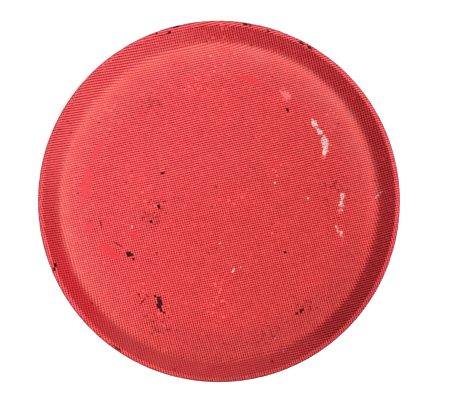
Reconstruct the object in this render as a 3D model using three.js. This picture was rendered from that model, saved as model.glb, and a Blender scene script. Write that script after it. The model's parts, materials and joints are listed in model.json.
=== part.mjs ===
// A round, shallow serving tray: a moulded fibre core between two thin, woven-faced red skins.
// Millimetres, +Z up. The origin is the centre of the base's underside, and the dish opens upwards.
import * as THREE from "three";

// Driving dimensions.
const TRAY_RADIUS = 165; // to the outermost edge of the lip
const TRAY_HEIGHT = 25.4; // from the base's underside to the top of the lip
const LAY_UP = 3; // skin, glue line, core, glue line and skin together
const SKIN = 0.5;
const GLUE_LINE = 0.3;
const FLOOR_RADIUS = 143; // where the flat serving floor starts to turn up into the wall
const FLOOR_TURN = 6.5; // radius of that turn, on the serving face
const LIP_WIDTH = 4.4; // from the wall's top corner to the outermost edge
const CORNER_ROUND = 1.2; // the wall's proud top corner, on the serving face
const UNDERCUT_ROUND = 1.2; // the hollow corner under the lip, on the underside
const BARE_EDGE = THREE.MathUtils.degToRad(26); // the core shows from here below level to here above
const SKIN_END = THREE.MathUtils.degToRad(40); // each skin rolls round the rim as far as this
const STEPS_AROUND = 72;

// Sizes that follow from them. A depth is measured below the serving face, square to it.
const CORE_TOP = SKIN + GLUE_LINE;
const CORE_BOTTOM = LAY_UP - SKIN - GLUE_LINE;
const UNDERSIDE_TOP = LAY_UP - SKIN;
const EDGE_ROUND = LAY_UP / 2; // the rim ends in a full half round
const UP = Math.PI / 2;
const DOWN = -Math.PI / 2;

const floorTurnCentre = new THREE.Vector2(FLOOR_RADIUS, LAY_UP + FLOOR_TURN);
const edgeCentre = new THREE.Vector2(TRAY_RADIUS - EDGE_ROUND, TRAY_HEIGHT - EDGE_ROUND);

// The wall is straight from the end of the floor's turn to the top corner, so its slope is that of
// the line through the corner that touches the turn.
const toCorner = new THREE.Vector2(TRAY_RADIUS - LIP_WIDTH, TRAY_HEIGHT).sub(floorTurnCentre);
const WALL_SLOPE = toCorner.angle() + Math.asin(FLOOR_TURN / toCorner.length());

function pointOnCircle(centre, radius, angle) {
  return new THREE.Vector2(
    centre.x + radius * Math.cos(angle),
    centre.y + radius * Math.sin(angle),
  );
}

// Points along an arc, both ends included.
function arc(centre, radius, from, to, steps) {
  return Array.from({ length: steps + 1 }, (_, i) =>
    pointOnCircle(centre, radius, from + ((to - from) * i) / steps),
  );
}

// The rounded corner where the wall meets the lip, at a depth below the serving face.
function lipCorner(depth, round) {
  const level = TRAY_HEIGHT - depth;
  const wallFoot = pointOnCircle(floorTurnCentre, FLOOR_TURN + depth, DOWN + WALL_SLOPE);
  const cornerRadius = wallFoot.x + (level - wallFoot.y) / Math.tan(WALL_SLOPE);
  const setBack = round * Math.tan(WALL_SLOPE / 2);
  const centre = new THREE.Vector2(cornerRadius + setBack, level - round);
  return arc(centre, round, UP + WALL_SLOPE, UP, 2);
}

// The section of one face of a layer, from the axis out to where the lip starts to roll over.
function face(depth, cornerRound) {
  return [
    new THREE.Vector2(0, LAY_UP - depth),
    ...arc(floorTurnCentre, FLOOR_TURN + depth, DOWN, DOWN + WALL_SLOPE, 4),
    ...lipCorner(depth, cornerRound),
  ];
}

// A closed turned body, from its lower face out to the rim, round its edge and back to the axis.
function turned(name, lowerFace, edge, upperFace, material) {
  const profile = [...lowerFace, ...edge, ...upperFace.reverse()];
  const mesh = new THREE.Mesh(new THREE.LatheGeometry(profile, STEPS_AROUND), material);
  mesh.rotation.x = Math.PI / 2; // LatheGeometry turns about Y, and the tray stands on Z
  mesh.name = name;
  return mesh;
}

// The woven skin that things are served on. It rolls over the lip, down to the bare edge.
function makeServingSkin() {
  const material = new THREE.MeshStandardMaterial({ color: 0xdc4548, roughness: 0.62 });
  const edge = [
    ...arc(edgeCentre, EDGE_ROUND - SKIN, UP, SKIN_END, 1),
    ...arc(edgeCentre, EDGE_ROUND, SKIN_END, UP, 2),
  ];
  const lowerFace = face(SKIN, CORNER_ROUND - SKIN);
  return turned("serving_skin", lowerFace, edge, face(0, CORNER_ROUND), material);
}

// The moulded core. It gives the tray its shape, and its cut edge shows all round the rim.
function makeCore() {
  const material = new THREE.MeshStandardMaterial({ color: 0x3a2419, roughness: 0.85 });
  const edge = [
    ...arc(edgeCentre, EDGE_ROUND - CORE_TOP, DOWN, -BARE_EDGE, 1),
    ...arc(edgeCentre, EDGE_ROUND, -BARE_EDGE, BARE_EDGE, 2),
    ...arc(edgeCentre, EDGE_ROUND - CORE_TOP, BARE_EDGE, UP, 1),
  ];
  const lowerFace = face(CORE_BOTTOM, UNDERCUT_ROUND + SKIN + GLUE_LINE);
  const upperFace = face(CORE_TOP, CORNER_ROUND - CORE_TOP);
  return turned("fibre_core", lowerFace, edge, upperFace, material);
}

// The same woven skin on the outside of the dish, which the tray stands on.
function makeUndersideSkin() {
  const material = new THREE.MeshStandardMaterial({ color: 0xcf4145, roughness: 0.66 });
  const edge = [
    ...arc(edgeCentre, EDGE_ROUND, DOWN, -SKIN_END, 2),
    ...arc(edgeCentre, EDGE_ROUND - SKIN, -SKIN_END, DOWN, 1),
  ];
  const lowerFace = face(LAY_UP, UNDERCUT_ROUND);
  const upperFace = face(UNDERSIDE_TOP, UNDERCUT_ROUND + SKIN);
  return turned("underside_skin", lowerFace, edge, upperFace, material);
}

const tray = new THREE.Group();
tray.add(makeServingSkin(), makeCore(), makeUndersideSkin());

export default tray;
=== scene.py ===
import json
import math

import bpy
import numpy as np
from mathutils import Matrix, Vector


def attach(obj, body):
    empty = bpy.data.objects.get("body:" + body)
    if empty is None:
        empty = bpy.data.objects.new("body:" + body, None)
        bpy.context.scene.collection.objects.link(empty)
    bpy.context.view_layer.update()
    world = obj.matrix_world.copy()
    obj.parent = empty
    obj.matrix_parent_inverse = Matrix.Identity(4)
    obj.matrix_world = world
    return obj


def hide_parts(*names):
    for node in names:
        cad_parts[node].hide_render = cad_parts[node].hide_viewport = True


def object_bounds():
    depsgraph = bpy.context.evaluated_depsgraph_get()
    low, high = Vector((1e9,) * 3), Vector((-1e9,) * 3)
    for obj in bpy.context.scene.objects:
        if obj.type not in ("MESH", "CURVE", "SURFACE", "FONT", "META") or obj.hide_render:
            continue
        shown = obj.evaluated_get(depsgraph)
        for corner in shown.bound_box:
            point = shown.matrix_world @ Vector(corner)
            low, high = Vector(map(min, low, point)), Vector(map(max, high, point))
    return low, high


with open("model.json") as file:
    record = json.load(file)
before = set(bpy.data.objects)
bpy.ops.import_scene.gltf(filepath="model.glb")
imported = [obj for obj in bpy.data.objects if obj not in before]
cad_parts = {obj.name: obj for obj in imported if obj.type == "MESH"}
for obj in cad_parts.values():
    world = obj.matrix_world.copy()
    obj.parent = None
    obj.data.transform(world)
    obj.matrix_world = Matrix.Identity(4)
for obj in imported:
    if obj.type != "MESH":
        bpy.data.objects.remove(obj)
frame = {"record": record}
cad_low, cad_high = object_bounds()

# Lengths are in millimetres in this script, and MM turns them into the scene's metres.
# Directions in plan are counted anticlockwise from +X.
MM = 0.001
UP = math.pi / 2
DOWN = -math.pi / 2

# ---------------------------------------------------------------- the tray's own sizes
mounts = {m["name"]: m for m in frame["record"]["mounts"]}
TRAY_RADIUS = cad_high.x / MM
TRAY_HEIGHT = cad_high.z / MM
LAY_UP = mounts["serving_floor"]["pos_m"][2] / MM
SKIN = 0.5
GLUE_LINE = 0.3
FLOOR_RADIUS = 143.0
FLOOR_TURN = 6.5
LIP_WIDTH = 4.4
CORNER_ROUND = 1.2
UNDERCUT_ROUND = 1.2
BARE_EDGE = math.radians(26)
SKIN_END = math.radians(28)  # the skins close up to the bare edge, so that no groove shows

EDGE_ROUND = LAY_UP / 2
CORE_TOP = SKIN + GLUE_LINE
CORE_BOTTOM = LAY_UP - CORE_TOP
FLOOR_TURN_CENTRE = np.array([FLOOR_RADIUS, LAY_UP + FLOOR_TURN])
EDGE_CENTRE = np.array([TRAY_RADIUS - EDGE_ROUND, TRAY_HEIGHT - EDGE_ROUND])
TO_CORNER = np.array([TRAY_RADIUS - LIP_WIDTH, TRAY_HEIGHT]) - FLOOR_TURN_CENTRE
WALL_SLOPE = math.atan2(TO_CORNER[1], TO_CORNER[0]) + math.asin(FLOOR_TURN / math.hypot(*TO_CORNER))

# ---------------------------------------------------------------- the cloth
WARP_PITCH = 2.04  # between warp threads, measured along a weft thread
WEFT_PITCH = 2.11
WEFT_DIRECTION = math.radians(13)
WARP_DIRECTION = math.radians(105)
PER_THREAD = 4  # mesh points to a thread, so that crowns and holes both fall on points
RELIEF = 0.42  # from a thread's crown down to the hole between four threads
CHIP_DEPTH = 0.44
DRAWN = 0.9  # how much longer the cloth was drawn where it goes straight up
NET_END = 0.6  # how far from the lip's corner the net along the threads ends
LIP_RING_STEP = 0.35  # from there out, between one ring of points and the next
BACK_STEPS = 180  # points round a skin's hidden back
CORE_STEPS = 720  # points round the core
NOISE_CELLS = 256


def smooth_noise(x, y, size, seed):
    """Noise from -1 to 1 that changes over about a size. Each seed has its own, the same on each run."""
    grid = np.random.default_rng(seed).uniform(-1, 1, (NOISE_CELLS, NOISE_CELLS))
    column, row = np.floor(x / size), np.floor(y / size)
    across, along = x / size - column, y / size - row
    across = across * across * (3 - 2 * across)
    along = along * along * (3 - 2 * along)
    i, j = column.astype(int) % NOISE_CELLS, row.astype(int) % NOISE_CELLS
    k, m = (i + 1) % NOISE_CELLS, (j + 1) % NOISE_CELLS
    near = grid[i, j] * (1 - across) + grid[k, j] * across
    far = grid[i, m] * (1 - across) + grid[k, m] * across
    return near * (1 - along) + far * along


def cell_chance(x, y, seed):
    """A number from 0 to 1 for each whole cell."""
    grid = np.random.default_rng(seed).uniform(0, 1, (NOISE_CELLS, NOISE_CELLS))
    return grid[np.floor(x).astype(int) % NOISE_CELLS, np.floor(y).astype(int) % NOISE_CELLS]


def step(value, low, high):
    """0 below low, 1 above high and smooth between them."""
    t = np.clip((value - low) / (high - low), 0, 1)
    return t * t * (3 - 2 * t)


def band(value, rise, full, fall, end):
    """0 below rise, 1 from full to fall, 0 above end and smooth between them."""
    return step(value, rise, full) * (1 - step(value, fall, end))


def facing(around, direction, low, high):
    """1 near a direction in degrees and 0 away from it. Low and high are cosines of the angle from it."""
    return step(np.cos(around - math.radians(direction)), low, high)


# ---------------------------------------------------------------- sections
def arc(centre, radius, start, end, steps=12):
    """Points along an arc, both ends included."""
    angles = np.linspace(start, end, steps + 1)
    return np.column_stack([centre[0] + radius * np.cos(angles), centre[1] + radius * np.sin(angles)])


def face_outline(depth, corner_round):
    """A layer face's outline at a depth below the serving face, from the axis to the lip."""
    floor_turn = arc(FLOOR_TURN_CENTRE, FLOOR_TURN + depth, DOWN, DOWN + WALL_SLOPE)
    level = TRAY_HEIGHT - depth
    corner = floor_turn[-1, 0] + (level - floor_turn[-1, 1]) / math.tan(WALL_SLOPE)
    centre = (corner + corner_round * math.tan(WALL_SLOPE / 2), level - corner_round)
    lip_corner = arc(centre, corner_round, UP + WALL_SLOPE, UP)
    return np.vstack([[(0, LAY_UP - depth)], floor_turn, lip_corner])


class Face:
    """One outer face: its outline from the axis to its end at the rim, read by the distance along the
    cloth that covers it."""

    SAMPLES = 6000

    def __init__(self, outline, outward):
        out, up = np.diff(outline, axis=0).T
        slant = np.hypot(out, up)
        cloth = slant / (1 + DRAWN * np.maximum(up / slant, 0))
        run = np.concatenate([[0], np.cumsum(cloth)])
        self.length = run[-1]
        self.along = np.linspace(0, self.length, self.SAMPLES)
        self.radius = np.interp(self.along, run, outline[:, 0])
        self.height = np.interp(self.along, run, outline[:, 1])
        slope = np.arctan2(np.gradient(self.height), np.gradient(self.radius))
        self.normal_out = -outward * np.sin(slope)
        self.normal_up = outward * np.cos(slope)

    def reach(self, radius):
        """How far along the cloth the face first comes to a radius."""
        return self.along[np.argmax(self.radius >= radius)]

    def lay(self, flat, sink):
        """Lays flat cloth on the face, drawn out where the face is steep, and sinks it."""
        run = np.hypot(flat[:, 0], flat[:, 1])
        out = np.interp(run, self.along, self.radius)
        out = out - sink * np.interp(run, self.along, self.normal_out)
        up = np.interp(run, self.along, self.height)
        up = up - sink * np.interp(run, self.along, self.normal_up)
        heading = flat / np.maximum(run, 1e-9)[:, None]
        return np.column_stack([heading * out[:, None], up])


serving_face = Face(
    np.vstack([face_outline(0, CORNER_ROUND), arc(EDGE_CENTRE, EDGE_ROUND, UP, SKIN_END)]),
    outward=1,
)
underside_face = Face(
    np.vstack([face_outline(LAY_UP, UNDERCUT_ROUND), arc(EDGE_CENTRE, EDGE_ROUND, DOWN, -SKIN_END)]),
    outward=-1,
)


# ---------------------------------------------------------------- the weave
WALL_FOOT = (145.0, 149.0)  # the radii between which the floor becomes wall
WALL_HEAD = (159.0, 160.5)  # the radii between which the wall becomes lip


def wall_part(radius):
    """1 on the sloping wall, 0 on the floor and the lip."""
    return band(radius, *WALL_FOOT, *WALL_HEAD)


def wall_light_and_rub(x, y):
    """Where the wall is made pale by direction, at the upper left and at the front: painted light along
    with rubbing.
    """
    around = np.arctan2(y, x)
    return facing(around, 135, 0.6, 0.95), facing(around, -95, 0.65, 0.95)


class Weave:
    """A plain weave laid flat: where its threads run and how high they stand."""

    CRIMP = 0.35  # how much of the height comes from threads passing over and under
    WEFT_PROUD = 0.14  # how far the weft stands proud of the warp, where it does most
    SLUB = 0.12  # how far a thread's thick and thin places change its height
    SLUB_SHADE = 0.02  # and how far they change its shade
    SLUB_LENGTH = 3.5
    APART = 7.3  # keeps the slubs of neighbouring threads from matching
    PUSHED = 0.5
    SHAKEN = 0.1
    BIAS_SIZE = 38  # over this many threads, rows and columns take turns to stand out

    def __init__(self, seed, wall_worn_and_shaded):
        """At 1, on the face that is used, the wall is worn and given painted shade. At 0 the wall is like
        the floor.
        """
        self.seed = seed
        self.wall_worn_and_shaded = wall_worn_and_shaded
        self.basis = np.array(
            [
                [WARP_PITCH * math.cos(WEFT_DIRECTION), WARP_PITCH * math.sin(WEFT_DIRECTION)],
                [WEFT_PITCH * math.cos(WARP_DIRECTION), WEFT_PITCH * math.sin(WARP_DIRECTION)],
            ]
        )

    def wander(self, threads):
        """How far the cloth was pushed about before it set, over many threads and over a few."""
        u, v = threads.T
        shift_x = self.PUSHED * smooth_noise(u, v, 17, self.seed + 1)
        shift_x = shift_x + self.SHAKEN * smooth_noise(u, v, 2.3, self.seed + 2)
        shift_y = self.PUSHED * smooth_noise(u, v, 19, self.seed + 3)
        shift_y = shift_y + self.SHAKEN * smooth_noise(u, v, 2.7, self.seed + 4)
        return np.column_stack([shift_x, shift_y])

    def flat(self, threads):
        """Where thread coordinates lie on the flat cloth. Whole numbers are thread centrelines."""
        return threads @ self.basis + self.wander(threads)

    def threads(self, flat):
        """The thread coordinates at points of the flat cloth."""
        back = np.linalg.inv(self.basis)
        first = flat @ back
        return first - self.wander(first) @ back

    def slubs(self, threads):
        """How thick the warp and the weft thread at each point are there, from -1 to 1."""
        u, v = threads.T
        warp = smooth_noise(np.rint(u) * self.APART, v, self.SLUB_LENGTH, self.seed + 5)
        weft = smooth_noise(u, np.rint(v) * self.APART, self.SLUB_LENGTH, self.seed + 6)
        return warp, weft

    def height(self, threads):
        """From 0 in a hole to about 1 on a crown."""
        u, v = threads.T
        warp, weft = np.rint(u), np.rint(v)
        warp_slub, weft_slub = self.slubs(threads)
        proud = 0.7 + smooth_noise(u, v, self.BIAS_SIZE, self.seed + 7)
        proud = self.WEFT_PROUD * np.clip(proud, -1, 1)
        warp_body = 1 - self.CRIMP - proud + self.SLUB * warp_slub
        weft_body = 1 - self.CRIMP + proud + self.SLUB * weft_slub
        warp_height = self.CRIMP * np.cos(math.pi * (v + warp)) + warp_body * (1 - (2 * (u - warp)) ** 2)
        weft_height = weft_body * (1 - (2 * (v - weft)) ** 2) - self.CRIMP * np.cos(math.pi * (u + weft))
        return np.maximum(warp_height, weft_height)

    def rows(self, threads, x, y, steep):
        """How much the gaps between rows show beside those between columns, from 0 to 1. On the floor
        they show most towards the back, and on a worn wall at the left."""
        u, v = threads.T
        around = np.arctan2(y, x)
        on_floor = 0.5 + y / 90 + smooth_noise(u, v, self.BIAS_SIZE, self.seed + 11)
        on_floor = 0.22 * np.clip(on_floor, -1, 1)
        on_wall = 0.05 + (0.28 - 0.14 * np.cos(around)) * np.cos(2 * around + math.pi / 4)
        return 0.5 + on_floor * (1 - steep) + on_wall * steep

    def shade(self, threads, x, y):
        """How light the red is at each point, from 0 in a hole to 1 where two threads cross: rubbing,
        painted shade in the holes and painted highlight on the crowns. A worn wall has more contrast than
        the floor, less at its lower left."""
        u, v = threads.T
        steep = self.wall_worn_and_shaded * wall_part(np.hypot(x, y))
        rows = self.rows(threads, x, y, steep)
        woven = 0.5 * ((1 - rows) * np.cos(2 * math.pi * u) + rows * np.cos(2 * math.pi * v))
        woven = woven + self.SLUB_SHADE * np.add(*self.slubs(threads))
        smooth = facing(np.arctan2(y, x), -115, 0.3, 0.8)
        contrast = 1.13 + steep * (0.7 - 1.5 * smooth)
        # Painted shade on a worn wall, less at its upper left and lower left.
        darker = steep * (0.17 - 0.1 * wall_light_and_rub(x, y)[0] - 0.15 * smooth)
        return np.maximum(0.5 + woven * contrast - darker, 0.24 * steep)


def woven_net(weave, reach):
    """The cloth inside a circle as a flat net along its threads, with a clean round edge. Returns thread
    coordinates, flat points, faces by their number of corners, and the edge's points in order."""
    most = math.ceil(reach / min(WARP_PITCH, WEFT_PITCH)) + 2
    ticks = np.arange(-most * PER_THREAD, most * PER_THREAD + 1) / PER_THREAD
    count = len(ticks)
    threads = np.stack(np.meshgrid(ticks, ticks, indexing="ij"), axis=-1)
    flat = weave.flat(threads.reshape(-1, 2)).reshape(count, count, 2)
    run = np.hypot(flat[..., 0], flat[..., 1])
    inside = run < reach
    number = np.full((count, count), -1)
    number[inside] = np.arange(inside.sum())
    all_threads, all_flat = [threads[inside]], [flat[inside]]
    made = int(inside.sum())
    cuts = []
    for axis in (0, 1):
        first = [slice(None)] * 2
        second = [slice(None)] * 2
        first[axis], second[axis] = slice(None, -1), slice(1, None)
        first, second = tuple(first), tuple(second)
        crossed = inside[first] != inside[second]
        share = ((reach - run[first][crossed]) / (run[second][crossed] - run[first][crossed]))[:, None]
        all_threads.append(threads[first][crossed] * (1 - share) + threads[second][crossed] * share)
        point = flat[first][crossed] * (1 - share) + flat[second][crossed] * share
        all_flat.append(point * (reach / np.hypot(*point.T))[:, None])
        cut = np.full(crossed.shape, -1)
        cut[crossed] = made + np.arange(crossed.sum())
        made += int(crossed.sum())
        cuts.append(cut)
    corners = np.stack([number[:-1, :-1], number[1:, :-1], number[1:, 1:], number[:-1, 1:]], axis=-1)
    edges = np.stack([cuts[0][:, :-1], cuts[1][1:, :], cuts[0][:, 1:], cuts[1][:-1, :]], axis=-1)
    held = (corners >= 0).sum(axis=-1)
    faces = {3: [], 4: list(corners[held == 4]), 5: []}
    for i, j in np.argwhere((held > 0) & (held < 4)):
        around = [n for pair in zip(corners[i, j], edges[i, j]) for n in pair if n >= 0]
        faces[len(around)].append(around)
    points = np.vstack(all_flat)
    edge = np.arange(int(inside.sum()), made)
    edge = edge[np.argsort(np.arctan2(points[edge, 1], points[edge, 0]))]
    return np.vstack(all_threads), points, {n: np.array(f) for n, f in faces.items()}, edge


# ---------------------------------------------------------------- mesh making
def between(row, next_row):
    """Quads from one closed ring of points to the next."""
    return np.column_stack([row, next_row, np.roll(next_row, -1), np.roll(row, -1)])


def narrowing(row, row_angles, coarse_row):
    """Triangles from a fine ring to a coarse one whose points are evenly spaced from angle 0."""
    nearest = np.rint(row_angles / (2 * math.pi) * len(coarse_row)).astype(int) % len(coarse_row)
    after = np.roll(nearest, -1)
    row_after = np.roll(row, -1)
    fans = np.column_stack([row, coarse_row[nearest], row_after])
    moved = nearest != after
    steps = np.column_stack([coarse_row[nearest], coarse_row[after], row_after])[moved]
    return np.vstack([fans, steps])


def turned_points(outline, count):
    """Rings of points, one for each point of the outline."""
    angles = 2 * math.pi * np.arange(count) / count
    circle = np.column_stack([np.cos(angles), np.sin(angles), np.zeros(count)])
    return np.vstack([circle * radius + (0, 0, height) for radius, height in outline])


def make_mesh(name, points, face_groups, attributes=()):
    """A smooth mesh from points in millimetres and arrays of faces, one array for each corner count."""
    corners = np.concatenate([f.reshape(-1) for f in face_groups])
    sizes = np.concatenate([np.full(len(f), f.shape[1]) for f in face_groups])
    mesh = bpy.data.meshes.new(name)
    mesh.vertices.add(len(points))
    mesh.vertices.foreach_set("co", (points * MM).astype(np.float32).reshape(-1))
    mesh.loops.add(len(corners))
    mesh.loops.foreach_set("vertex_index", corners.astype(np.int32))
    mesh.polygons.add(len(sizes))
    starts = np.concatenate([[0], np.cumsum(sizes)[:-1]])
    mesh.polygons.foreach_set("loop_start", starts.astype(np.int32))
    mesh.polygons.foreach_set("use_smooth", np.ones(len(sizes), bool))
    mesh.update(calc_edges=True)
    mesh.validate()
    for label, values in dict(attributes).items():
        held = mesh.attributes.new(label, "FLOAT", "POINT")
        held.data.foreach_set("value", values.astype(np.float32))
    piece = bpy.data.objects.new(name, mesh)
    bpy.context.scene.collection.objects.link(piece)
    return piece


def make_skin(name, face, weave, wear_and_shade, back_outline, net_reach, flip):
    """A woven skin as one closed body: a net along the threads over the floor and wall, rings over the
    lip, and a plain back that lies against the core."""
    threads, flat, faces, edge = woven_net(weave, net_reach)
    angles = np.arctan2(flat[edge, 1], flat[edge, 0])
    heading = np.column_stack([np.cos(angles), np.sin(angles)])
    ring_count = math.ceil((face.length - net_reach) / LIP_RING_STEP)
    rows = [edge]
    made = len(flat)
    ring_flat = []
    for run in np.linspace(net_reach, face.length, ring_count + 1)[1:]:
        ring_flat.append(heading * run)
        rows.append(made + np.arange(len(edge)))
        made += len(edge)
    ring_flat = np.vstack(ring_flat)
    flat = np.vstack([flat, ring_flat])
    threads = np.vstack([threads, weave.threads(ring_flat)])
    sink, attributes = wear_and_shade(weave, threads, face.lay(flat, np.zeros(len(flat))))
    front = face.lay(flat, sink)

    rim_radius, rim_height = back_outline[0]
    rim = np.column_stack([heading * rim_radius, np.full(len(edge), rim_height)])
    rows.append(made + np.arange(len(edge)))
    made += len(edge)
    back = turned_points(back_outline[1:-1], BACK_STEPS)
    coarse = made + np.arange(len(back)).reshape(-1, BACK_STEPS)
    middle = made + len(back)
    points = np.vstack([front, rim, back, [(0, 0, back_outline[-1][1])]])

    groups = [f for f in faces.values() if len(f)]
    groups += [between(a, b) for a, b in zip(rows, rows[1:])]
    groups.append(narrowing(rows[-1], angles, coarse[0]))
    groups += [between(a, b) for a, b in zip(coarse, coarse[1:])]
    last = coarse[-1]
    groups.append(np.column_stack([last, np.full(BACK_STEPS, middle), np.roll(last, -1)]))
    if flip:
        groups = [f[:, ::-1] for f in groups]
    hidden = np.zeros(len(points) - len(front))
    attributes = {label: np.concatenate([values, hidden]) for label, values in attributes.items()}
    return make_mesh(name, points, groups, attributes)


# ---------------------------------------------------------------- wear, and painted light and shade
# The painted shade deepens in this plan direction, towards the lower right.
PAINTED_SHADE_DIRECTION = math.radians(-25)

# Marks are (x, y, length, width, direction in degrees), in plan from the tray's centre.
# Chips bare the core, and cracks collect dirt. Resin fills the weave at FILLED. It is rubbed smooth at
# PALE, scratched white at SCUFFS and SPECKS, and its holes hold dirt at GRIMY.
CHIPS = [
    (-54.9, -94.5, 12.5, 4.6, 100),
    (-57.5, -87.5, 4.5, 1.6, 150),
    (-51.5, -101.5, 5.0, 1.5, 150),
    (-83.1, -49.0, 6.4, 5.0, 140),
    (-79.5, -52.5, 3.0, 2.2, 140),
    (-55.8, -4.4, 3.4, 4.6, 20),
    (-52.1, 26.6, 4.2, 2.6, 75),
    (-63.4, -18.2, 3.2, 2.6, 60),
    (-39.9, 28.4, 1.9, 1.6, 0),
    (-57.6, -47.1, 2.4, 2.0, 0),
    (63.4, 84.8, 3.2, 2.8, 30),
    (60.7, -46.2, 3.2, 2.4, 10),
    (71.0, -103.5, 5.0, 2.2, 35),
    (76.2, -100.0, 4.6, 2.4, 35),
]
RIM_CHIPS = [
    (-45.8, 153.1, 6.0, 1.8, 25),
    (-39.4, 159.5, 5.5, 2.6, 15),
    (24.8, 161.2, 8.0, 1.6, 172),
    (-57.6, 152.8, 3.0, 1.4, 20),
    (45.2, 154.9, 3.4, 2.0, 165),
    (75.0, 144.2, 6.5, 2.4, 152),
    (83.0, 140.0, 6.0, 2.6, 150),
    (-148.6, -59.0, 4.0, 3.0, 110),
    (-149.5, -62.6, 3.5, 2.6, 110),
    (-93.0, -133.5, 14.0, 1.3, 144),
]
CRACKS = [
    (-70.2, -91.6, 8.0, 1.3, 52),
    (-66.4, -86.6, 5.0, 1.2, 130),
    (-73.5, -86.2, 6.5, 1.2, 115),
    (-109.0, -20.5, 8.0, 1.2, 100),
    (-93.0, -39.5, 12.0, 1.2, 150),
]
FILLED = [
    (-122.5, 16.0, 34.0, 9.5, 80),
    (-112.0, 48.0, 22.0, 5.0, 63),
    (27.5, 113.5, 20.0, 6.0, 165),
    (-78.5, -30.8, 7.0, 6.0, 0),
    (-120.4, -23.5, 15.0, 7.0, 40),
    (-101.0, -45.5, 24.0, 8.5, 148),
]
PALE = [
    (61.6, 98.8, 12.0, 8.5, 130),
    (96.8, 44.5, 9.0, 5.0, 80),
    (111.0, -8.5, 6.0, 5.0, 60),
    (111.5, -29.0, 10.0, 5.0, 120),
]
SCUFFS = [
    (88.5, 72.5, 8.0, 5.0, 118),
    (92.8, 65.2, 10.0, 3.6, 126),
    (97.2, 57.5, 9.0, 5.4, 112),
    (98.4, 51.0, 11.0, 5.6, 92),
    (96.8, 46.0, 5.0, 4.0, 70),
    (113.8, 4.5, 6.5, 4.2, 80),
    (112.8, -2.0, 7.5, 3.8, 100),
    (147.6, 7.0, 9.5, 1.1, 45),
    (82.6, 2.9, 2.5, 2.0, 0),
    (0.7, -38.0, 2.0, 1.6, 0),
    (12.8, -64.2, 5.0, 1.9, 65),
    (20.0, -60.6, 1.8, 1.4, 0),
    (51.6, 17.5, 2.0, 1.5, 0),
    (-80.3, -23.5, 2.2, 1.7, 0),
]
SPECKS = [
    (110.7, -26.0, 16.0, 3.6, 122),
    (113.0, -28.0, 4.0, 2.5, 30),
    (92.5, 66.0, 12.0, 6.5, 120),
    (99.0, 53.0, 12.0, 9.0, 95),
    (113.0, -4.0, 8.0, 6.0, 90),
]
GRIMY = [
    (-60.0, 89.0, 26.0, 14.0, 150),
    (-62.0, -12.0, 30.0, 22.0, 60),
    (-57.0, -113.0, 34.0, 16.0, 150),
    (47.0, -122.0, 24.0, 12.0, 20),
    (74.0, -99.0, 30.0, 16.0, 30),
    (110.0, 5.0, 30.0, 24.0, 90),
]


def patches(x, y, marks, seed, soft, ragged=0.35):
    """The strongest of several ragged patches at each point, from 0 to 1."""
    found = np.zeros_like(x)
    for k, (mark_x, mark_y, length, width, direction) in enumerate(marks):
        turn = math.radians(direction)
        along = (x - mark_x) * math.cos(turn) + (y - mark_y) * math.sin(turn)
        across = (y - mark_y) * math.cos(turn) - (x - mark_x) * math.sin(turn)
        away = np.hypot(along / (length / 2), across / (width / 2))
        away = away + ragged * smooth_noise(x, y, 1.6, seed + k)
        found = np.maximum(found, 1 - step(away, 1 - soft, 1 + soft))
    return found


def resin(weave, u, v, x, y):
    """How full of resin the hole at each point is. Most are nearly empty, and some are half closed."""
    spread = 0.04 + 0.16 * step(smooth_noise(x, y, 26, weave.seed + 8), 0.1, 0.9)
    return spread + 0.4 * cell_chance(u, v, weave.seed + 9) ** 3


def tone(weave, u, v, x, y):
    """How worn each crown is, from 0 to 1."""
    worn = 0.4 + 0.6 * cell_chance(u + 0.5, v + 0.5, weave.seed + 10)
    wall = wall_part(np.hypot(x, y))
    rubbed = np.maximum(*wall_light_and_rub(x, y))
    # At the wall's upper left and front the crowns are made pale: painted light along with rubbing.
    return np.maximum(worn * (1 - 0.1 * wall * (1 - rubbed)), 1.2 * wall * rubbed)


def painted_shade(x, y):
    """Painted shade: from 0 at the upper left, where the painted light is brightest, to 1 at the lower
    right.
    """
    return step(x * math.cos(PAINTED_SHADE_DIRECTION) + y * math.sin(PAINTED_SHADE_DIRECTION), -110, 110)


def at_half_threads(weave, threads, x, y):
    """Each point moved to the nearest half thread, because a flaked edge runs along threads."""
    moved = (np.rint(threads * 2) / 2 - threads) @ weave.basis
    return x + moved[:, 0], y + moved[:, 1]


def lip_part(radius):
    """1 on the level lip, 0 on the wall and where the rim rolls over."""
    return band(radius, 160.5, 161.5, TRAY_RADIUS - 1.2, TRAY_RADIUS - 0.7)


def dust_and_sheen_ring(radius, around):
    """Dust and painted sheen on the floor just inside the wall, most at the back and left."""
    ring = np.clip((radius - 108) / 34, 0, 1) ** 1.6 * (1 - step(radius, 145, 152))
    return ring * (0.15 + 0.85 * facing(around, 117, -0.8, 0.2))


def haze_and_painted_light(x, y, ring, pale):
    """How hazy each point is with dust and rubbing, plus painted sheen by direction and painted light at
    the upper left.
    """
    radius, around = np.hypot(x, y), np.arctan2(y, x)
    upper_left, front = wall_light_and_rub(x, y)
    on_wall = wall_part(radius) * (0.2 + 0.3 * upper_left + 0.4 * front)
    on_lip = 0.55 * lip_part(radius) * (0.3 + 0.7 * facing(around, 110, -0.6, 0.2))
    hazed_and_sheen = (ring + on_wall + on_lip + 0.5 * pale) * (0.8 + 0.2 * smooth_noise(x, y, 8, 10))
    return hazed_and_sheen + 0.18 * (1 - painted_shade(x, y)) ** 2 * (1 - step(radius, 120, 145))


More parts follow.
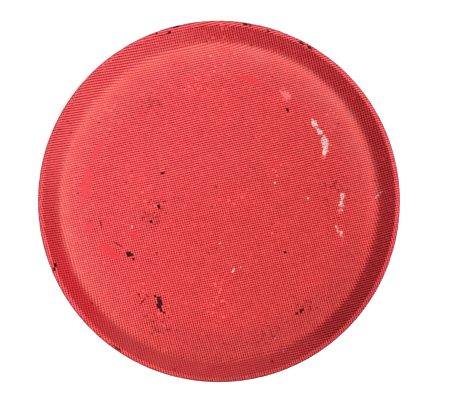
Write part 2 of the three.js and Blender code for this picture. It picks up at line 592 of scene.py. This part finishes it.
def darkness(x, y):
    """Painted shade: the gradient to the lower right, eased in places, and more on the wall and at the
    front.
    """
    radius, around = np.hypot(x, y), np.arctan2(y, x)
    upper_left, front = wall_light_and_rub(x, y)
    wall, lip = wall_part(radius), lip_part(radius)
    # Painted shade on the wall, set by direction and least at the front.
    wall_shade = step(radius, 146, 154) * (1 - 0.6 * upper_left) * (1 - facing(around, -85, 0.75, 0.95))
    wall_shade = wall_shade * (0.35 + 0.3 * facing(around, 135, 0, 0.7)) + 0.4 * facing(around, -145, 0.6, 0.95)
    # Painted shade on the floor near the wall at the front and on the lip's front. The gradient is held
    # back on the wall's front, at its foot on the right and on the rest of the lip.
    front_floor = band(radius, 110, 132, 143, 148) * facing(around, -65, 0.4, 0.9)
    front_lip = lip * facing(around, -60, 0.55, 0.95)
    wall_foot = band(radius, 132, 142, 146, 151) * facing(around, 30, 0.4, 0.9)
    kept = (1 - 0.8 * wall * front) * (1 - 0.7 * wall_foot) * (1 - 0.8 * lip * (1 - front_lip))
    return painted_shade(x, y) * kept + wall * wall_shade + 0.65 * front_floor + front_lip


def coolness(x, y):
    """How far the red leans to pink: on the lip, the wall and the floor's upper left, where the painted
    light is brightest.
    """
    radius = np.hypot(x, y)
    on_lip = lip_part(radius) * (1 - wall_light_and_rub(x, y)[1])
    on_floor = (1 - painted_shade(x, y)) * (1 - step(radius, 130, 145))
    return on_lip + 0.5 * wall_part(radius) + 0.4 * on_floor


def dark_edge_line(x, y):
    """A dark line along the rim's outermost edge, wider at the front."""
    reach = np.hypot(x, y) + 0.12 * smooth_noise(x, y, 3, 12)
    reach = reach + 0.5 * facing(np.arctan2(y, x), -90, 0.3, 0.9)
    return 0.8 * step(reach, TRAY_RADIUS - 0.75, TRAY_RADIUS - 0.35)


def serving_wear_and_shade(weave, threads, placed):
    """How far each point of the serving face is sunk below its crowns' level, how it is worn, and its
    painted light and shade.
    """
    x, y = placed[:, 0], placed[:, 1]
    u, v = threads.T
    bare = patches(*at_half_threads(weave, threads, x, y), CHIPS + RIM_CHIPS, 40, 0.12)
    filled = patches(x, y, FILLED, 60, 0.22, 0.3)
    pale = patches(x, y, PALE, 90, 0.5, 0.5)
    scuffed = patches(x, y, SCUFFS, 80, 0.35, 0.5)
    specks = patches(x, y, SPECKS, 110, 0.4, 0.3) * (cell_chance(u + 0.5, v + 0.5, 13) < 0.2)
    scuffed = np.maximum(np.maximum(scuffed, specks), 0.24 * pale)
    cracked = patches(x, y, CRACKS, 70, 0.3, 0.3)
    grimy = patches(x, y, GRIMY, 100, 0.6, 0.3)

    # Dirt lies in some of the holes and in the cracks.
    shade = weave.shade(threads, x, y)
    density = 0.002 + 0.28 * grimy + 0.01 * step(smooth_noise(x, y, 24, 8), 0.1, 0.8)
    strength = 0.2 + 0.7 * cell_chance(u, v, 9)
    in_holes = (1 - step(shade, 0.6, 0.9)) * (cell_chance(u, v, 7) < density) * strength
    dotted = np.maximum(in_holes, 0.9 * cracked)

    # Resin, dust and rubbing close the other holes in part. In the ring by the wall this also paints sheen
    # over the weave.
    ring = dust_and_sheen_ring(np.hypot(x, y), np.arctan2(y, x))
    dust_sheen_and_rubbing = np.maximum(0.36 * np.clip(ring, 0, 1), 0.64 * pale)
    closed = np.maximum(resin(weave, u, v, x, y), dust_sheen_and_rubbing) * (1 - dotted)
    shade = np.maximum(shade, closed)
    relief = np.maximum(np.clip(weave.height(threads), 0, 1), closed)
    relief = relief + (0.8 - relief) * filled * 0.75

    sink = RELIEF * (1 - relief)
    sink = sink * (1 - bare) + bare * (CHIP_DEPTH + 0.05 * smooth_noise(x, y, 0.9, 11))
    attributes = {
        "shade": shade,
        "tone": tone(weave, u, v, x, y),
        "painted_shade": darkness(x, y),
        "bare": bare,
        "filled": filled,
        "scuffed": scuffed * step(shade, 0.1, 0.5),
        "hazed_and_sheen": haze_and_painted_light(x, y, ring, pale),
        "cool": coolness(x, y),
        "dotted": np.maximum(dotted, dark_edge_line(x, y)),
    }
    return sink, attributes


def underside_wear_and_shade(weave, threads, placed):
    """The same for the underside, which is rubbed in a ring where it stands."""
    x, y = placed[:, 0], placed[:, 1]
    u, v = threads.T
    bare = patches(*at_half_threads(weave, threads, x, y), RIM_CHIPS, 140, 0.12)
    shade = weave.shade(threads, x, y)
    dotted = (1 - step(shade, 0.35, 0.6)) * (cell_chance(u, v, 17) < 0.06)
    closed = resin(weave, u, v, x, y) * (1 - dotted)
    relief = np.maximum(np.clip(weave.height(threads), 0, 1), closed)
    ring = band(np.hypot(x, y), 128, 139, 144, 149)
    scratched = step(smooth_noise(x, y, 3, 21), 0.35, 0.8) * step(relief, 0.4, 0.8)
    sink = RELIEF * (1 - relief) * (1 - bare) + bare * CHIP_DEPTH
    attributes = {
        "shade": np.maximum(shade, closed),
        "tone": tone(weave, u, v, x, y),
        # Painted shade gradient, as on the serving face.
        "painted_shade": painted_shade(x, y),
        "bare": bare,
        "filled": np.zeros_like(x),
        "scuffed": ring * scratched,
        "hazed_and_sheen": ring * (0.7 + 0.3 * smooth_noise(x, y, 8, 20)),
        "cool": np.zeros_like(x),
        "dotted": dotted,
    }
    return sink, attributes


# ---------------------------------------------------------------- materials
class Nodes:
    """A short way to write a material's nodes. An input is a number, a colour or another node's output."""

    def __init__(self, name):
        self.material = bpy.data.materials.new(name)
        self.material.use_nodes = True
        self.tree = self.material.node_tree
        self.shader = self.tree.nodes["Principled BSDF"]

    def put(self, socket, value):
        if isinstance(value, bpy.types.NodeSocket):
            self.tree.links.new(value, socket)
        elif socket.type == "RGBA":
            socket.default_value = (*value, 1)
        else:
            socket.default_value = value

    def add(self, kind, inputs, **settings):
        made = self.tree.nodes.new(kind)
        for key, value in settings.items():
            setattr(made, key, value)
        for key, value in inputs.items():
            self.put(made.inputs[key], value)
        return made

    def attribute(self, name):
        return self.add("ShaderNodeAttribute", {}, attribute_name=name).outputs["Fac"]

    def where(self):
        return self.add("ShaderNodeTexCoord", {}).outputs["Object"]

    def noise(self, scale, detail):
        inputs = {"Vector": self.where(), "Scale": scale, "Detail": detail, "Roughness": 0.55}
        return self.add("ShaderNodeTexNoise", inputs).outputs["Fac"]

    def between(self, value, low, high, to_low=0.0, to_high=1.0):
        inputs = {"Value": value, "From Min": low, "From Max": high}
        inputs.update({"To Min": to_low, "To Max": to_high})
        return self.add("ShaderNodeMapRange", inputs, clamp=True).outputs["Result"]

    def times(self, first, second):
        return self.add("ShaderNodeMath", {0: first, 1: second}, operation="MULTIPLY").outputs[0]

    def bump(self, height, strength, distance):
        inputs = {"Height": height, "Strength": strength, "Distance": distance}
        self.put(self.shader.inputs["Normal"], self.add("ShaderNodeBump", inputs).outputs["Normal"])

    def mix(self, share, first, second, blend="MIX"):
        made = self.tree.nodes.new("ShaderNodeMix")
        made.data_type = "RGBA"
        made.blend_type = blend
        self.put(made.inputs[0], share)
        self.put(made.inputs[6], first)
        self.put(made.inputs[7], second)
        return made.outputs[2]


RED = (0.63, 0.001, 0.002)
RED_DEEP = (0.07, 0.0, 0.0)  # in the holes of the weave: pooled pigment, and painted shade
RED_CROWN = (0.98, 0.152, 0.158)  # where threads cross: rubbed pale, and a painted highlight
RED_FILLED = (0.76, 0.034, 0.044)
PAINTED_SHADE_DEPTH = 0.18  # how much darker the painted shade makes the lower right side
CHALK = (1.0, 0.86, 0.80)
# A pale haze of dust and rubbing, also used for painted sheen.
HAZE_AND_SHEEN = (0.66, 0.30, 0.28)
DIRT = (0.21, 0.0, 0.0)
COOL = (0.0, 0.0, 0.02)  # added where the red leans to pink
FIBRE_DARK = (0.018, 0.003, 0.002)
FIBRE_LIGHT = (0.070, 0.017, 0.010)
STUDIO_WHITE = (0.9, 0.9, 0.9)
FLOOR_GLOW = 0.6
WORLD_GLOW = 0.25

# Noise scales are waves to a metre.
CHALK_GRAIN = 2600
RESIN_GRAIN = 1900
FIBRE_GRAIN = 1500
EDGE_GRAIN = 1400
EDGE_LUMPS = 900
SHEEN_PATCHES = 300


def red_weave(name):
    """Red resin on a woven skin, with how it is worn and its painted light and shade read from the mesh.
    """
    n = Nodes(name)
    shade = n.attribute("shade")
    # Dark holes and pale crowns: pooled pigment and rubbing, with painted shade and painted highlight.
    colour = n.mix(n.between(shade, 0.05, 0.43), RED_DEEP, RED)
    worn = n.between(n.attribute("tone"), 0, 1.5, 0.58, 1.21)
    colour = n.mix(n.times(n.between(shade, 0.50, 0.60), worn), colour, RED_CROWN)
    colour = n.mix(n.times(n.attribute("filled"), 0.9), colour, RED_FILLED)
    # Haze of dust and rubbing, with painted sheen and painted light, more on the crowns than in the holes.
    raised = n.between(shade, 0.15, 0.55, 0.0, 0.35)
    colour = n.mix(n.times(n.attribute("hazed_and_sheen"), raised), colour, HAZE_AND_SHEEN)
    out_of_holes = n.between(shade, 0, 0.4)
    colour = n.mix(n.times(n.attribute("cool"), out_of_holes), colour, COOL, "ADD")
    grain = n.between(n.noise(CHALK_GRAIN, 2), 0.35, 0.6)
    chalk = n.between(n.times(n.attribute("scuffed"), grain), 0.24, 0.56)
    colour = n.mix(chalk, colour, CHALK)
    colour = n.mix(n.attribute("dotted"), colour, DIRT)
    # Painted shade: the painted_shade attribute darkens the colour, most at the lower right.
    light = n.between(n.attribute("painted_shade"), 0, 2, 1, 1 - 2 * PAINTED_SHADE_DEPTH)
    grey = n.add("ShaderNodeCombineColor", {"Red": light, "Green": light, "Blue": light})
    colour = n.mix(1.0, colour, grey.outputs["Color"], "MULTIPLY")
    fibre = n.mix(n.between(n.noise(FIBRE_GRAIN, 3), 0.35, 0.65), FIBRE_DARK, FIBRE_LIGHT)
    bare = n.between(n.attribute("bare"), 0.35, 0.65)
    n.put(n.shader.inputs["Base Color"], n.mix(bare, colour, fibre))
    rough = n.between(n.noise(SHEEN_PATCHES, 3), 0.3, 0.7, 0.50, 0.66)
    rough = n.add("ShaderNodeMix", {0: bare, 2: rough, 3: 0.9}, data_type="FLOAT")
    n.put(n.shader.inputs["Roughness"], rough.outputs[0])
    n.shader.inputs["Specular IOR Level"].default_value = 0.03
    n.bump(n.noise(RESIN_GRAIN, 3), 0.35, 0.12 * MM)
    return n.material


def bare_fibre():
    """The core's rough, dark edge."""
    n = Nodes("bare_fibre")
    fine = n.noise(EDGE_GRAIN, 4)
    n.put(n.shader.inputs["Base Color"], n.mix(n.between(fine, 0.3, 0.7), FIBRE_DARK, FIBRE_LIGHT))
    n.put(n.shader.inputs["Roughness"], n.between(fine, 0.3, 0.7, 0.8, 0.95))
    n.bump(n.noise(EDGE_LUMPS, 4), 0.6, 0.2 * MM)
    return n.material


def studio_floor():
    """A white floor that glows a little, so that it stays white round the tray."""
    n = Nodes("studio_floor")
    n.put(n.shader.inputs["Base Color"], STUDIO_WHITE)
    n.put(n.shader.inputs["Roughness"], 0.9)
    n.put(n.shader.inputs["Emission Color"], (1, 1, 1))
    n.put(n.shader.inputs["Emission Strength"], FLOOR_GLOW)
    return n.material


# ---------------------------------------------------------------- camera
# The camera looks almost straight down and aims beside the tray, which then lies left of the middle.
CAMERA_DISTANCE = 1600.0
CAMERA_ELEVATION = math.radians(87.1)
FRAME_WIDTH = 412.2  # how much the camera takes in from left to right, at the rim's height
AIM = (6.8, -2.8)  # in plan, at the rim's height
SENSOR_WIDTH = 36.0

camera_data = bpy.data.cameras.new("camera")
camera = bpy.data.objects.new("camera", camera_data)
bpy.context.scene.collection.objects.link(camera)
bpy.context.scene.camera = camera
camera_data.sensor_width = SENSOR_WIDTH
camera_data.lens = SENSOR_WIDTH * CAMERA_DISTANCE / FRAME_WIDTH
back = Vector((0, -math.cos(CAMERA_ELEVATION), math.sin(CAMERA_ELEVATION)))
aim = Vector((AIM[0], AIM[1], TRAY_HEIGHT)) * MM
camera.location = aim + back * CAMERA_DISTANCE * MM
camera.rotation_mode = "QUATERNION"
camera.rotation_quaternion = (-back).to_track_quat("-Z", "Y")

# ---------------------------------------------------------------- pieces
# The net along the threads ends inside the lip's corner on the serving face, and outside it below.
NET_REACH = serving_face.reach(TRAY_RADIUS - LIP_WIDTH - NET_END)
UNDER_REACH = underside_face.reach(TRAY_RADIUS - LIP_WIDTH + NET_END)



def back_outline(depth, corner_round, level, end):
    """A skin's back, from its end at the rim in to the axis."""
    roll = arc(EDGE_CENTRE, EDGE_ROUND - SKIN, end, level, 3)
    return np.vstack([roll, face_outline(depth, corner_round)[::-1]])


serving = make_skin(
    "serving_face",
    serving_face,
    Weave(seed=1, wall_worn_and_shaded=1.0),
    serving_wear_and_shade,
    back_outline(SKIN, CORNER_ROUND - SKIN, UP, SKIN_END),
    NET_REACH,
    flip=False,
)
underside = make_skin(
    "underside_face",
    underside_face,
    Weave(seed=31, wall_worn_and_shaded=0.0),
    underside_wear_and_shade,
    back_outline(LAY_UP - SKIN, UNDERCUT_ROUND + SKIN, DOWN, -SKIN_END),
    UNDER_REACH,
    flip=True,
)


ROUGHNESS = 0.05  # how deep the core's bare edge is pitted
BITE = 0.16  # and where pieces have come out of it


def make_core():
    """The core, plain where it is covered and rough along its bare edge."""
    inner = EDGE_ROUND - CORE_TOP
    outline = np.vstack(
        [
            face_outline(CORE_BOTTOM, UNDERCUT_ROUND + SKIN + GLUE_LINE)[1:],
            arc(EDGE_CENTRE, inner, DOWN, -BARE_EDGE, 3),
            arc(EDGE_CENTRE, EDGE_ROUND, -BARE_EDGE, BARE_EDGE, 8),
            arc(EDGE_CENTRE, inner, BARE_EDGE, UP, 3),
            face_outline(CORE_TOP, CORNER_ROUND - CORE_TOP)[:0:-1],
        ]
    )
    points = turned_points(outline, CORE_STEPS)
    bare = np.hypot(points[:, 0], points[:, 1]) > EDGE_CENTRE[0] + inner + 0.2
    round_rim = np.arctan2(points[:, 1], points[:, 0]) * TRAY_RADIUS
    pits = ROUGHNESS * np.abs(smooth_noise(round_rim, points[:, 2], 2.2, 201))
    pits = pits + BITE * step(smooth_noise(round_rim, points[:, 2], 6.0, 202), 0.55, 0.9)
    points[:, :2] *= (1 - bare * pits / TRAY_RADIUS)[:, None]
    rows = np.arange(len(points)).reshape(-1, CORE_STEPS)
    lower_middle = np.full(CORE_STEPS, len(points))
    upper_middle = lower_middle + 1
    points = np.vstack([points, [(0, 0, LAY_UP - CORE_BOTTOM), (0, 0, LAY_UP - CORE_TOP)]])
    groups = [between(b, a) for a, b in zip(rows, rows[1:])]
    groups.append(np.column_stack([np.roll(rows[0], -1), rows[0], lower_middle]))
    groups.append(np.column_stack([rows[-1], np.roll(rows[-1], -1), upper_middle]))
    return make_mesh("core_edge", points, groups)


core = make_core()

serving.data.materials.append(red_weave("red_weave_serving"))
underside.data.materials.append(red_weave("red_weave_underside"))
core.data.materials.append(bare_fibre())

for piece, node, slot_name in (
    (serving, "serving_skin", "red_weave_serving"),
    (underside, "underside_skin", "red_weave_underside"),
    (core, "fibre_core", "bare_fibre"),
):
    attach(piece, "root")
    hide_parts(node)

# ---------------------------------------------------------------- studio
FLOOR_HALF = 4000.0
FLOOR_DROP = 0.02  # how far below the base the floor lies
LAMP_DISTANCE = 4.0  # metres, as is the lamp's side
LAMP_SIDE = 2.0

floor_points = np.array([(-1, -1, 0), (1, -1, 0), (1, 1, 0), (-1, 1, 0)]) * FLOOR_HALF
floor = make_mesh("studio_floor", floor_points, [np.array([[0, 1, 2, 3]])])
floor.location.z = -FLOOR_DROP * MM
floor.data.materials.append(studio_floor())

world = bpy.data.worlds.new("studio")
bpy.context.scene.world = world
world.use_nodes = True
background = world.node_tree.nodes["Background"]
background.inputs["Color"].default_value = (1, 1, 1, 1)
background.inputs["Strength"].default_value = WORLD_GLOW


def softbox(name, azimuth, elevation, power):
    """A square lamp that faces the tray. Azimuth is the plan direction it stands in."""
    data = bpy.data.lights.new(name, "AREA")
    data.shape = "SQUARE"
    data.size = LAMP_SIDE
    data.energy = power
    lamp = bpy.data.objects.new(name, data)
    bpy.context.scene.collection.objects.link(lamp)
    a, e = math.radians(azimuth), math.radians(elevation)
    towards = Vector((math.cos(a) * math.cos(e), math.sin(a) * math.cos(e), math.sin(e)))
    lamp.location = towards * LAMP_DISTANCE
    lamp.rotation_mode = "QUATERNION"
    lamp.rotation_quaternion = towards.to_track_quat("Z", "Y")


softbox("key", azimuth=15, elevation=60, power=100)
softbox("front", azimuth=-90, elevation=60, power=85)

bpy.context.scene.view_settings.view_transform = "Standard"
